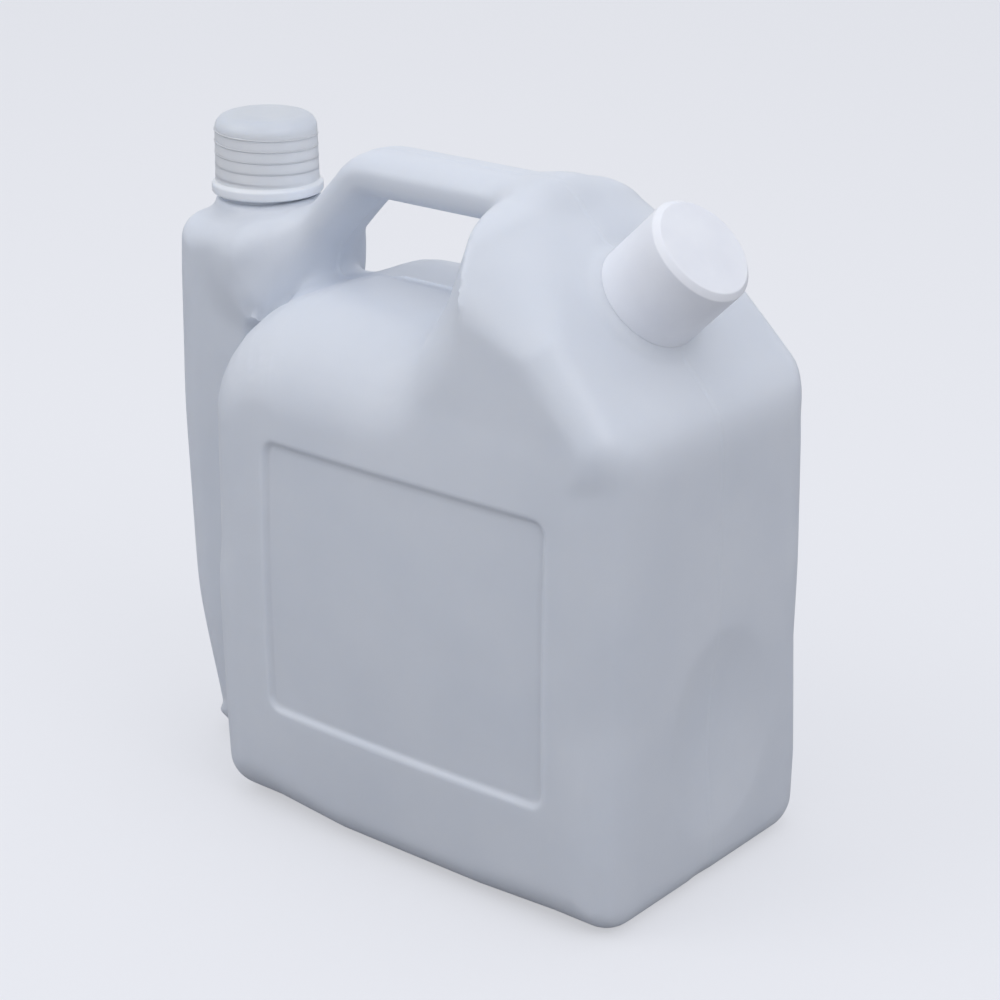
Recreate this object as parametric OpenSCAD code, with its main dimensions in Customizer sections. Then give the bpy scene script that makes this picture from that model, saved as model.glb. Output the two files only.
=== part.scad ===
// Fuel mixing bottle: a blow-moulded fuel tank with a slim oil chamber on its left end,
// a hollow carrying handle between them, an upright oil neck and a slanted pouring spout.
// The X axis runs from the oil chamber to the spout, Y is the depth, Z is up.
// The origin is at the middle of the fuel tank's foot, and y = 0 is the moulding's parting plane.

/* [Fuel tank] */
// Half of the tank's length along X
tank_half_l = 97; // [90:0.5:105]
// Half of the tank's depth along Y, at its corners
tank_half_w = 62.5; // [56:0.5:68]
// Radius of the upright corners, seen from above
corner_r = 24; // [18:0.5:28]
// Radius of the rounded edge round the foot
foot_r = 14; // [10:0.5:17]
// How far the two large walls swell out at their middle
wall_bulge = 4.5; // [2:0.5:7]
// How far the two end walls swell out at mid height
end_bulge = 1.5; // [0:0.5:3]
// Height at which the large walls start to draw in above
shoulder_z = 148; // [142:1:154]
// Height of the parting ridge in the valley under the handle
ridge_z = 197.5; // [190:0.5:200]
// Radius of the left shoulder, seen from the front
shoulder_r = 45; // [38:1:48]
// Radius between the valley under the handle and the large walls
valley_r = 40; // [34:0.5:42]
// Wall of the moulding
wall = 1.6; // [1.2:0.1:2.2]

/* [Spout hump] */
// Height of the hump's crown
crown_z = 243.5; // [238:0.5:248]
// Slant of the pouring face and of the spout, measured up from +X
spout_angle = 44; // [40:0.5:48]
// Distance from the origin to the plane of the pouring face, along the spout's own direction
slope_s = 189.5; // [186:0.5:194]
// How far the large walls draw in by the hump's crown
hump_draw = 8; // [5:0.5:12]
// Radius of the edges along the pouring face
slope_edge_r = 16; // [12:0.5:20]
// Radius between the pouring face and the end wall, seen from the front
slope_end_r = 33; // [26:0.5:36]
// X of the hump's left flank at the height of the valley, on the parting plane
flank_foot_x = -7; // [-11:0.5:-5]
// X of the hump's left flank at the crown, before it rounds over
flank_top_x = 12; // [8:0.5:14]
// Radius of the crown, seen from the front
crown_r = 17; // [14:0.5:18]
// Drop of the crown's rounding at the large walls
crown_edge = 32; // [30:0.5:34]
// Reach of the crown's rounding along Y
crown_edge_d = 44; // [38:0.5:50]
// Inset of the hump's left nose at the large walls
flank_edge = 30; // [27:0.5:32]
// Reach of that nose's rounding along Y
flank_edge_d = 52; // [44:0.5:56]

/* [Label panel] */
// Left edge of the sunk panel in each large wall
panel_x0 = -59; // [-64:0.5:-50]
// Right edge of the sunk panel
panel_x1 = 68; // [60:0.5:72]
// Lower edge of the sunk panel
panel_z0 = 46; // [40:0.5:56]
// Upper edge of the sunk panel
panel_z1 = 150; // [130:0.5:152]
// Depth of the sunk panel
panel_depth = 1.3; // [0.8:0.1:2]
// Radius of the panel's corners
panel_r = 4; // [2:0.5:8]

/* [Finger scoop] */
// Depth of the finger scoop in the right end wall
scoop_depth = 6; // [3:0.5:8]
// Half of the scoop's width
scoop_half_w = 33; // [26:0.5:36]
// Half of the scoop's height
scoop_half_h = 38; // [30:0.5:40]
// Height of the scoop's middle
scoop_z = 56; // [54:0.5:62]

/* [Oil chamber] */
// X of the chamber's left wall at its fullest
oil_left_x = -146.2; // [-152:0.5:-144]
// Half of the chamber's depth
oil_half_w = 29; // [26:0.5:32]
// Height of the chamber's lowest point
oil_foot_z = 1.5; // [1:0.5:8]
// Height of the chamber's shoulder beside the neck
oil_top_z = 213; // [210:0.5:216]
// How far the chamber's left wall draws in towards its foot
oil_draw = 12.5; // [8:0.5:20]
// Radius of the chamber's upright edges
oil_edge_r = 18; // [14:0.5:20]
// Radius of the edge round the chamber's shoulder
oil_shoulder_r = 9; // [7:0.5:11]
// Narrow gap between the chamber and the tank
crease_gap = 2.5; // [2:0.5:4]
// Thickness of the pinched web that closes the gap on the parting plane
web_t = 3.2; // [2.4:0.2:5]

/* [Handle] */
// How far the handle's top lies below the hump's crown
handle_drop = 0.5; // [0:0.1:2]
// Thickness of the handle, up and down
handle_t = 13.4; // [12:0.2:16]
// Width of the handle along Y
handle_w = 32; // [26:0.5:36]
// Radius of the handle's long edges
handle_edge_r = 5; // [3:0.5:5.5]
// X of the handle's bend
handle_bend_x = -62; // [-64:0.5:-58]

/* [Necks] */
// X of the oil neck's axis
oil_neck_x = -115.5; // [-118:0.5:-112]
// Distance of the spout's axis from the origin, square to its own direction
spout_offset = 108.6; // [106:0.5:111]
// Outer radius of both necks under the thread
neck_r = 17.3; // [17:0.1:17.5]
// Radius of the bore in both necks
bore_r = 15.8; // [15.2:0.1:16]
// Height of the neck's mouth above the cap's lower edge
neck_h = 20; // [18:0.5:21]
// Radius of the flared collar where a neck leaves the body
collar_r = 21; // [20:0.5:23]

/* [Caps] */
// Outer radius of the fuel cap
fuel_cap_r = 19.9; // [19:0.1:20.5]
// Height of the fuel cap
fuel_cap_h = 30.4; // [29:0.1:32]
// Height of the fuel cap's lower edge above the pouring face
fuel_cap_gap = 2.2; // [1.5:0.1:3]
// Bevel round the fuel cap's top
fuel_cap_bevel = 1.8; // [1:0.1:3]
// Outer radius of the oil cap's skirt
oil_cap_r = 19.4; // [19:0.1:20]
// Height of the oil cap
oil_cap_h = 29.6; // [28.5:0.1:31]
// Height of the oil cap's lower edge above the chamber's shoulder
oil_cap_gap = 7.3; // [5:0.1:9]
// Rounding of the oil cap's top edge
oil_cap_round = 6; // [4:0.5:8]
// Radius of the bead round the oil cap's lower edge
bead_r = 21; // [20.4:0.1:21.5]
// Height of that bead
bead_h = 4.6; // [3:0.1:6]
// Number of fine helical ridges up the oil cap's skirt
ridge_count = 5; // [3:1:6]
// Spacing of those ridges, the same as the thread's pitch
thread_pitch = 4.23; // [3.8:0.01:4.5]
// How far a ridge stands out
ridge_t = 0.35; // [0.2:0.05:0.5]
// Skirt wall of both caps
cap_wall = 1.5; // [1.3:0.1:1.7]
// Thickness of both caps' tops
cap_top = 2; // [1.5:0.1:2.5]
// Radius of the sealing liner in both caps
liner_r = 17; // [16.6:0.1:17.2]
// Thickness of the sealing liner
liner_t = 1.8; // [1:0.1:2.5]
// Running clearance between the liner and the faces it seals against
liner_gap = 0.05; // [0:0.01:0.2]
// Inner radius of the seat that presses the liner onto the neck
seat_r = 12; // [10:0.5:14]

/* [Hidden] */
$fn = 64;

HDPE = [0.86, 0.90, 0.94];
OPAQUE_WHITE = [0.95, 0.95, 0.96];
FOAM = [0.90, 0.91, 0.92];

// The spout's direction and the pouring face's own direction, in the XZ plane
spout_x = cos(spout_angle);
spout_z = sin(spout_angle);
fuel_cap_s = slope_s + fuel_cap_gap;
oil_cap_z = oil_top_z + oil_cap_gap;
seat_z = neck_h + liner_t + 2 * liner_gap;

// Degrees between the points of an arc, millimetres between those of a straight run
arc_step = 20;
run_step = 50;
// Heights of the slices through one half of the moulding, as shares of its depth
SLICES = [0, 0.32, 0.54, 0.71, 0.84, 0.93, 0.98, 1];
// Rings over the large wall, as shares of the way out from its middle
WALL_RINGS = [0.72, 0.3];
// Height of the widest place on the end walls, and the radius of their slight bow
bow_z = 95;
bow_r = 600;

// Each half of the moulding is drawn from its outline on the parting plane, corner by corner as
// [x, z, radius, inset, depth]. The last two are for the run that follows the corner: its edge to the
// large wall rounds over by inset in the outline's plane and by depth along Y.
function slope_x(z) = (slope_s - spout_z * z) / spout_x;
function slope_z(x) = (slope_s - spout_x * x) / spout_z;
TANK_CORNERS = [
    [-tank_half_l + end_bulge, 0, foot_r + 4, corner_r, corner_r],
    [-tank_half_l, bow_z, bow_r, corner_r, corner_r],
    [-tank_half_l + 0.5, ridge_z, shoulder_r, valley_r - 2, valley_r - 4],
    [flank_foot_x, ridge_z, 5, flank_edge, flank_edge_d],
    [flank_foot_x + 9, ridge_z + 14.5, 40, flank_edge, flank_edge_d],
    [flank_top_x, crown_z, crown_r, crown_edge, crown_edge_d],
    [slope_x(crown_z), crown_z, crown_r, slope_edge_r, slope_edge_r],
    [tank_half_l - 1, slope_z(tank_half_l - 1), slope_end_r, corner_r, corner_r],
    [tank_half_l, bow_z, bow_r, corner_r, corner_r],
    [tank_half_l - end_bulge, 0, foot_r - 4, foot_r, foot_r]
];
// Middle of the tank's large walls, from which every point of their rim can be seen
tank_centre = [30, 100];
oil_right_x = -tank_half_l - crease_gap;
OIL_CORNERS = [
    [oil_left_x + oil_draw, oil_foot_z + 4.5, 12, oil_edge_r - 2, oil_edge_r],
    [oil_left_x + oil_draw * 0.2, 70, 220, oil_edge_r, oil_edge_r],
    [oil_left_x, 140, 400, oil_edge_r, oil_edge_r],
    [oil_left_x + 2.8, oil_top_z, oil_shoulder_r, oil_shoulder_r - 1.5, oil_shoulder_r],
    [oil_neck_x + 22, oil_top_z, 14, oil_shoulder_r + 5, oil_edge_r - 1],
    [-84, ridge_z - 14.9, 2, 5, oil_edge_r - 6],
    [oil_right_x + 4.5, ridge_z - 21.5, 30, oil_edge_r - 10, oil_edge_r],
    [oil_right_x, 150, 40, oil_edge_r - 6, oil_edge_r],
    [oil_right_x, oil_foot_z + 1.5, 8, 8, oil_edge_r - 6],
    [oil_left_x + oil_draw + 9, oil_foot_z, 12, 9, oil_edge_r - 6]
];
oil_centre = [-112, 185];

// Where the handle runs, from inside the chamber's shoulder to inside the hump:
// [x, share of the way up its limb, half width, half thickness]
handle_z = crown_z - handle_drop - handle_t / 2;
limb_z = oil_top_z - 19;
HANDLE_STOPS = [
    [oil_neck_x + 22.5, 0, handle_w / 2 + 3, handle_t / 2],
    [handle_bend_x - 24, 0.27, handle_w / 2, handle_t / 2 - 0.5],
    [handle_bend_x - 17, 0.5, handle_w / 2 - 1.5, handle_t / 2 - 0.8],
    [handle_bend_x - 10.5, 0.73, handle_w / 2 - 1.5, handle_t / 2 - 0.5],
    [handle_bend_x - 6, 0.88, handle_w / 2 - 1, handle_t / 2],
    [handle_bend_x - 2, 0.97, handle_w / 2, handle_t / 2],
    [handle_bend_x + 3, 1, handle_w / 2, handle_t / 2],
    [20, 1, handle_w / 2, handle_t / 2]
];
function stop_z(i) = limb_z + (handle_z - limb_z) * HANDLE_STOPS[i][1];

function unit(v) = v / norm(v);
function arc(cx, cy, r, a0, a1, n) =
    [for (i = [0:n]) let (a = a0 + (a1 - a0) * i / n) [cx + r * cos(a), cy + r * sin(a)]];
function ramp(low, high, v) = let (t = max(0, min(1, (v - low) / (high - low)))) t * t * (3 - 2 * t);

function plane(p) = [p[0], p[1]];
function next(list, i) = list[(i + 1) % len(list)];
function before(list, i) = list[(i + len(list) - 1) % len(list)];
// Half the angle between the two runs that meet at corner i
function half_angle(corners, i) =
    acos(unit(plane(before(corners, i) - corners[i])) * unit(plane(next(corners, i) - corners[i]))) / 2;
// Unit vector into the form, square to the run that follows corner i
function inward(corners, i) = let (t = unit(plane(next(corners, i) - corners[i]))) [t[1], -t[0]];
function arc_count(corners, i) =
    corners[i][2] == 0 ? 0 : max(1, round((180 - 2 * half_angle(corners, i)) / arc_step));
function run_count(corners, i) = ceil(norm(plane(next(corners, i) - corners[i])) / run_step);

// How far the run after a corner has drawn in at slice t, d inside the outer surface
function drawn_in(corner, t, d, half) =
    let (u = max(0, (t * (half - d) - half + corner[4]) / (corner[4] - d)))
    d + (corner[3] - d) * (1 - sqrt(max(0, 1 - u * u)));
// Corner i of the slice, where its two drawn-in runs meet, with its radius
function slice_corner(corners, i, t, d, half) =
    let (
        a = drawn_in(before(corners, i), t, d, half),
        b = drawn_in(corners[i], t, d, half),
        na = inward(corners, (i + len(corners) - 1) % len(corners)),
        nb = inward(corners, i),
        det = na[0] * nb[1] - na[1] * nb[0],
        convex = det < 0
    )
    [
        corners[i][0] + (a * nb[1] - b * na[1]) / det,
        corners[i][1] + (b * na[0] - a * nb[0]) / det,
        convex ? max(corners[i][2] - (a + b) / 2, corners[i][2] * 0.15) : corners[i][2] + (a + b) / 2
    ];
// One corner as an arc of n steps, with its radius kept to what the runs beside it leave room for
function corner_arc(corners, i, n) =
    let (
        here = plane(corners[i]),
        u = plane(before(corners, i)) - here,
        v = plane(next(corners, i)) - here,
        half = half_angle(corners, i),
        r = min(corners[i][2], 0.47 * min(norm(u), norm(v)) * tan(half)),
        c = here + unit(unit(u) + unit(v)) * r / sin(half),
        f = here + unit(u) * r / tan(half) - c,
        l = here + unit(v) * r / tan(half) - c
    )
    [for (k = [0:n]) c + unit(f * (n - k) + l * k) * r];
function slice_outline(corners, t, d, half) =
    let (
        m = len(corners),
        moved = [for (i = [0:m - 1]) slice_corner(corners, i, t, d, half)],
        arcs = [for (i = [0:m - 1]) corner_arc(moved, i, arc_count(corners, i))]
    )
    [for (i = [0:m - 1])
        let (a = arcs[i], b = next(arcs, i)[0], last = a[len(a) - 1], k = run_count(corners, i))
        each concat(a, [for (j = [1:1:k - 1]) last + (b - last) * j / k])];

// Half depth of the tank and of the chamber at a place on their large walls
function swell(z) = sin(180 * max(0, min(1, z / (ridge_z - 20))));
function tank_y(p) =
    tank_half_w + wall_bulge * swell(p[1]) * max(0, 1 - pow(p[0] / tank_half_l, 2))
    - hump_draw * ramp(shoulder_z, crown_z + 20, p[1]);
function oil_y(p) = oil_half_w - 3 * ramp(60, 0, p[1]);

// A solid through a stack of rings that all have the same number of points
module loft(rings) {
    n = len(rings[0]);
    m = len(rings);
    polyhedron(
        points = [for (ring = rings) each ring],
        faces = concat(
            [[for (i = [0:n - 1]) i]],
            [for (k = [0:m - 2]) for (i = [0:n - 1])
                let (j = (i + 1) % n)
                [k * n + i, (k + 1) * n + i, (k + 1) * n + j, k * n + j]],
            [[for (i = [0:n - 1]) (m - 1) * n + n - 1 - i]]
        ),
        convexity = 8
    );
}
// Both halves of a moulding, d inside its outer surface
module moulded(corners, half, centre, d, is_tank) {
    function y_at(p) = (is_tank ? tank_y(p) : oil_y(p)) - d;
    rim = slice_outline(corners, 1, d, half);
    right = concat(
        [for (t = SLICES) [for (p = slice_outline(corners, t, d, half)) [p[0], t * y_at(p), p[1]]]],
        [for (k = WALL_RINGS) [for (p = rim) let (q = centre + (p - centre) * k) [q[0], y_at(q), q[1]]]]
    );
    n = len(right);
    loft(concat(
        [for (i = [1:n - 1]) [for (p = right[n - i]) [p[0], -p[1], p[2]]]],
        right
    ));
}
module tank(d) {
    moulded(TANK_CORNERS, tank_half_w, tank_centre, d, true);
}
module chamber(d) {
    moulded(OIL_CORNERS, oil_half_w, oil_centre, d, false);
}

module handle_stop(i, d) {
    p = HANDLE_STOPS[i];
    a = HANDLE_STOPS[max(0, i - 1)];
    b = HANDLE_STOPS[min(len(HANDLE_STOPS) - 1, i + 1)];
    t = unit([b[0] - a[0], (b[1] - a[1]) * (handle_z - limb_z)]);
    r = handle_edge_r - d * 0.6;
    for (sy = [-1, 1]) for (sz = [-1, 1])
        translate([p[0] - sz * t[1] * (p[3] - d - r), sy * (p[2] - d - r), stop_z(i) + sz * t[0] * (p[3] - d - r)])
            sphere(r, $fn = 12);
}
module handle(d) {
    for (i = [0:len(HANDLE_STOPS) - 2])
        hull() {
            handle_stop(i, d);
            handle_stop(i + 1, d);
        }
}

// Puts a piece that is drawn upright onto the slanted spout, s along the spout from the origin
module on_spout(s) {
    translate([spout_x * s - spout_z * spout_offset, 0, spout_z * s + spout_x * spout_offset])
        rotate([0, 90 - spout_angle, 0]) children();
}
module on_oil_neck(z) {
    translate([oil_neck_x, 0, z]) children();
}

// One neck, from inside the body to its mouth, with a fairing of the given reach at its root
module neck_outside(root, gap, reach) {
    rotate_extrude($fn = 48)
        polygon([
            [0, -root], [neck_r + 0.8 + reach, -root], [neck_r + 0.8 + reach, -gap - 0.4],
            [neck_r + 0.8 + reach * 0.45, -gap + min(gap * 0.45, reach * 0.2)],
            [neck_r + 0.8, -gap + min(gap * 0.8, reach * 0.6)], [neck_r + 0.8, -0.6], [neck_r, -0.6],
            [neck_r, neck_h - 0.6], [neck_r - 0.6, neck_h], [0, neck_h]
        ]);
}
module neck_bore(root) {
    translate([0, 0, -root]) cylinder(h = root + neck_h + 1, r = bore_r, $fn = 48);
}

// The two large walls have the same sunk panel
module panel_prism(grow) {
    for (sy = [-1, 1])
        translate([0, sy * (tank_half_w + wall_bulge) - (sy > 0 ? 20 : 10), 0])
            rotate([-90, 0, 0])
                linear_extrude(height = 30)
                    offset(r = panel_r + grow, $fn = 24)
                        polygon([
                            [panel_x0 + panel_r, -panel_z0 - panel_r], [panel_x1 - panel_r, -panel_z0 - panel_r],
                            [panel_x1 - panel_r, -panel_z1 + panel_r], [panel_x0 + panel_r, -panel_z1 + panel_r]
                        ]);
}
// A shallow dish of the given half sizes and depth, its rim in the plane z = 0 and its middle above
module dish(half_x, half_y, depth, grow) {
    k = 0.8;
    half = sqrt(1 - k * k);
    az = depth / (1 - k);
    translate([0, 0, -k * az])
        scale([half_x / half + grow, half_y / half + grow, az + grow])
            sphere(1, $fn = 20);
}
module hollows(grow) {
    translate([tank_half_l, 0, scoop_z])
        rotate([0, -90, 0])
            dish(scoop_half_h, scoop_half_w, scoop_depth, grow);
}
module panelled_tank(d, grow) {
    tank(d + panel_depth);
    difference() {
        tank(d);
        panel_prism(grow);
    }
}
module body(d) {
    difference() {
        panelled_tank(d, d);
        hollows(d);
    }
    chamber(d);
    handle(d);
}
module web() {
    rotate([90, 0, 0])
        linear_extrude(height = web_t, center = true)
            polygon([
                [oil_right_x - 3, foot_r], [oil_right_x + 6, foot_r], [oil_right_x + 6, ridge_z - shoulder_r],
                [-80, ridge_z - 18], [-80, ridge_z - 9], [oil_right_x - 3, ridge_z - 18]
            ]);
}
module bottle() {
    color(HDPE)
        difference() {
            union() {
                body(0);
                web();
                on_spout(fuel_cap_s) neck_outside(fuel_cap_gap + 4, fuel_cap_gap, 6);
                on_oil_neck(oil_cap_z) neck_outside(oil_cap_gap + 4, oil_cap_gap, collar_r - neck_r - 0.8);
            }
            body(wall);
            on_spout(fuel_cap_s) neck_bore(16);
            on_oil_neck(oil_cap_z) neck_bore(oil_cap_gap + 8);
        }
}

// Both caps are drawn with their lower edge at z = 0
module fuel_cap() {
    color(OPAQUE_WHITE)
        on_spout(fuel_cap_s)
            rotate_extrude()
                polygon([
                    [fuel_cap_r - cap_wall, 0], [fuel_cap_r - 0.4, 0], [fuel_cap_r, 0.4],
                    [fuel_cap_r, fuel_cap_h - fuel_cap_bevel],
                    [fuel_cap_r - fuel_cap_bevel, fuel_cap_h],
                    [0, fuel_cap_h], [0, fuel_cap_h - cap_top],
                    [seat_r, fuel_cap_h - cap_top], [seat_r, seat_z], [liner_r, seat_z],
                    [liner_r, fuel_cap_h - cap_top], [fuel_cap_r - cap_wall, fuel_cap_h - cap_top]
                ]);
}
module oil_cap() {
    color(HDPE)
        on_oil_neck(oil_cap_z)
            rotate_extrude()
                polygon(concat(
                    [[oil_cap_r - cap_wall, 0], [bead_r - 0.8, 0], [bead_r, 0.8],
                        [bead_r, bead_h - 1.2], [oil_cap_r, bead_h]],
                    [for (i = [0:ridge_count - 1]) let (z = bead_h + 1 + thread_pitch * i) each
                        [[oil_cap_r, z], [oil_cap_r + ridge_t, z + 0.5], [oil_cap_r, z + 1]]],
                    arc(oil_cap_r - oil_cap_round, oil_cap_h - 0.8 - oil_cap_round, oil_cap_round, 0, 85, 6),
                    [[0, oil_cap_h], [0, oil_cap_h - cap_top],
                        [seat_r, oil_cap_h - cap_top], [seat_r, seat_z], [liner_r, seat_z],
                        [liner_r, oil_cap_h - cap_top - 3], [oil_cap_r - cap_wall, oil_cap_h - cap_top - 4]]
                ));
}
module liner() {
    translate([0, 0, neck_h + liner_gap]) cylinder(h = liner_t, r = liner_r);
}
module fuel_cap_liner() {
    color(FOAM) on_spout(fuel_cap_s) liner();
}
module oil_cap_liner() {
    color(FOAM) on_oil_neck(oil_cap_z) liner();
}

bottle();
fuel_cap();
fuel_cap_liner();
oil_cap();
oil_cap_liner();
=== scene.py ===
"""Looks of a blow-moulded fuel mixing bottle: its smooth skin, screw caps, liners, light and camera.

Lengths in this script are millimetres, and MM turns them into Blender's metres. X runs from the oil
chamber to the pouring spout, Y is the depth, Z is up, and y = 0 is the moulding's parting plane.
"""

import math

import bpy
import numpy as np
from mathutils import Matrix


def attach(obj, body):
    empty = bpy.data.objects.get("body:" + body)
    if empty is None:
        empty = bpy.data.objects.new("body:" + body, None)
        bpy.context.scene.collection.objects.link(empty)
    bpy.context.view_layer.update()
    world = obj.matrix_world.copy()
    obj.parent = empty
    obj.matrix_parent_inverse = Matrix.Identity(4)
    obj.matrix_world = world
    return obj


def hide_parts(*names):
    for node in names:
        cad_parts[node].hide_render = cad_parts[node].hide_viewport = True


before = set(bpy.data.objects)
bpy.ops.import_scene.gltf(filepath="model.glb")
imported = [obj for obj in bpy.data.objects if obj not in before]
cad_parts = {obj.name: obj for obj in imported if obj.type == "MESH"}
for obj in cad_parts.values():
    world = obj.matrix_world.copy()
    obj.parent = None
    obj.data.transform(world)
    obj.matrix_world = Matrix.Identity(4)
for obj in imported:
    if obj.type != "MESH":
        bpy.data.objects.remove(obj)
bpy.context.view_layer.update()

MM = 0.001

# Fuel tank
TANK_HALF_L = 97.0
TANK_HALF_W = 62.5
END_DRAW = 1.5
WALL_BULGE = 4.5
CORNER_R = 24.0
FOOT_R = 14.0
BOW_Z = 95.0
RIDGE_Z = 197.5
SHOULDER_R = 45.0
SHOULDER_Z = 148.0
VALLEY_R = 40.0
WALL = 1.6

# Spout hump
CROWN_Z = 243.5
CROWN_R = 17.0
SPOUT_ANGLE = math.radians(44.0)
SLOPE_S = 189.5
SLOPE_EDGE_R = 12.5
SLOPE_END_R = 33.0
HUMP_DRAW = 8.0
FLANK_FOOT_X = -7.0
FLANK_TOP_X = 12.0
CROWN_EDGE = (32.0, 44.0)
FLANK_EDGE = (30.0, 52.0)

# Sunk panel in both large walls
PANEL_X = (-59.0, 68.0)
PANEL_Z = (46.0, 150.0)
PANEL_R = 5.0
PANEL_DEPTH = 1.6
PANEL_LIP = 1.3

# Finger scoop in the right end wall
SCOOP_Z = (18.0, 98.0)
SCOOP_DEPTH = 4.8
SCOOP_HALF_W = 31.0

# Oil chamber
OIL_LEFT_X = -146.2
OIL_RIGHT_X = -99.5
OIL_HALF_W = 29.0
OIL_FOOT_Z = 1.5
OIL_TOP_Z = 213.0
OIL_DRAW = 12.5
OIL_EDGE_R = 18.0
OIL_SHOULDER_R = 9.0
OIL_SEAM_R = 3.0
WEB_T = 3.2
# Parting line that stands out round the whole moulding
FLASH = 0.35
FLASH_W = 0.7
# It rises to a thin crest in the valley under the handle
CREST = 1.4
CREST_X = (-54.0, -4.0)

# Handle
HANDLE_Z = 236.8
HANDLE_T = 8.3

# Necks and caps, both drawn with the cap's lower edge at zero
OIL_NECK_X = -115.5
OIL_CAP_Z = 220.3
SPOUT_OFFSET = 108.6
FUEL_CAP_S = 191.7
NECK_R = 17.3
BORE_R = 15.8
NECK_H = 20.0
COLLAR_R = 20.6
THREAD_PITCH = 4.23
THREAD_R = 0.55
FUEL_CAP_R = 19.9
FUEL_CAP_H = 30.4
OIL_CAP_R = 19.4
OIL_CAP_H = 29.6
OIL_BEAD_R = 21.0
OIL_BEAD_H = 4.6
CAP_WALL = 1.5
CAP_TOP = 2.0
LINER_R = 17.0
LINER_T = 1.8
LINER_GAP = 0.05
SEAT_R = 12.0
SEAT_H = NECK_H + LINER_T + 2.0 * LINER_GAP
RIDGE_R = 0.34
# Painted shade: the oil cap's top is made darker in its colour than the thin skirt, as if less light fell on
# it
CAP_TOP_PAINTED_SHADE = (0.70, 0.71, 0.72)
ROUND_STEPS = 144

# Camera and light
CAMERA_PLACE = (0.5369, -0.6563, 0.4493)
CAMERA_AZIMUTH = math.radians(39.41)
CAMERA_ELEVATION = math.radians(21.04)
LENS = 90.0
FLOOR_GLOW = 0.50


# Distance functions: below zero is inside, and every argument may be an array

def step(low, high, value):
    t = np.clip((value - low) / (high - low), 0.0, 1.0)
    return t * t * (3.0 - 2.0 * t)


def mix(a, b, t):
    return a + (b - a) * t


def both(a, b, r):
    """The overlap of two forms, with the edge between them rounded to r."""
    outside = np.hypot(np.maximum(a + r, 0.0), np.maximum(b + r, 0.0))
    return np.minimum(np.maximum(a, b) + r, 0.0) + outside - r


def joined(a, b, r):
    """Two forms as one, with a hollow fillet of radius r in the corner between them."""
    return np.maximum(np.minimum(a, b), r) - np.hypot(np.maximum(r - a, 0.0), np.maximum(r - b, 0.0))


def edged(a, b, across, along):
    """The overlap of two forms with an oval edge: it reaches across into a and along into b."""
    u = np.maximum(a / across + 1.0, 0.0)
    v = np.maximum(b / along + 1.0, 0.0)
    g = np.hypot(u, v)
    oval = (g - 1.0) * g / np.maximum(np.hypot(u / across, v / along), 1e-6)
    return np.where(g > 0.2, oval, np.maximum(a, b))


def outline(corners, arc_steps=9):
    """A closed outline in the XZ plane from corners (x, z, radius, ...), each turned into an arc.

    What stands after the radius belongs to the run that follows the corner, and changes over the arc."""
    points = []
    count = len(corners)
    for i, (x, z, r, *run) in enumerate(corners):
        here = np.array((x, z), float)
        back = np.array(corners[i - 1][:2], float) - here
        ahead = np.array(corners[(i + 1) % count][:2], float) - here
        room = min(np.linalg.norm(back), np.linalg.norm(ahead))
        back /= np.linalg.norm(back)
        ahead /= np.linalg.norm(ahead)
        half = math.acos(np.clip(back @ ahead, -1.0, 1.0)) / 2.0
        r = min(r, 0.48 * room * math.tan(half))
        before = corners[i - 1][3:]
        if r < 0.01 or math.pi / 2.0 - half < 0.01:
            points.append((x, z, *run))
            continue
        middle = (back + ahead) / np.linalg.norm(back + ahead)
        centre = here + middle * r / math.sin(half)
        first = here + back * r / math.tan(half) - centre
        last = here + ahead * r / math.tan(half) - centre
        for k in range(arc_steps + 1):
            t = k / arc_steps
            ray = first * (1.0 - t) + last * t
            place = centre + ray / np.linalg.norm(ray) * r
            points.append((*place, *(mix(a, b, t * t * (3.0 - 2.0 * t)) for a, b in zip(before, run))))
    return np.array(points)


def nearest_on(points, x, z, closed=True):
    """Distance to a line of points, what its nearest place carries, and whether x, z is inside it."""
    x, z = np.broadcast_arrays(x, z)
    nearest = np.full(x.shape, 1e9)
    inside = np.zeros(x.shape, bool)
    carried = [np.zeros(x.shape) for _ in range(points.shape[1] - 2)]
    ends = np.roll(points, -1, axis=0)
    for a, b in list(zip(points, ends))[:None if closed else -1]:
        ex, ez = (b - a)[:2]
        px = x - a[0]
        pz = z - a[1]
        t = np.clip((px * ex + pz * ez) / (ex * ex + ez * ez + 1e-12), 0.0, 1.0)
        square = (px - t * ex) ** 2 + (pz - t * ez) ** 2
        closer = square < nearest
        nearest = np.where(closer, square, nearest)
        for n, value in enumerate(carried):
            carried[n] = np.where(closer, mix(a[n + 2], b[n + 2], t), value)
        if abs(ez) > 1e-9:
            crosses = (a[1] > z) != (b[1] > z)
            inside ^= crosses & (px < pz * ex / ez)
    return np.sqrt(nearest), carried, inside


def outline_distance(points, x, z):
    distance, carried, inside = nearest_on(points, x, z)
    return np.where(inside, -distance, distance), carried


SLOPE_X, SLOPE_Z = math.cos(SPOUT_ANGLE), math.sin(SPOUT_ANGLE)


def slope_x(z):
    return (SLOPE_S - SLOPE_Z * z) / SLOPE_X


def slope_z(x):
    return (SLOPE_S - SLOPE_X * x) / SLOPE_Z


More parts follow.
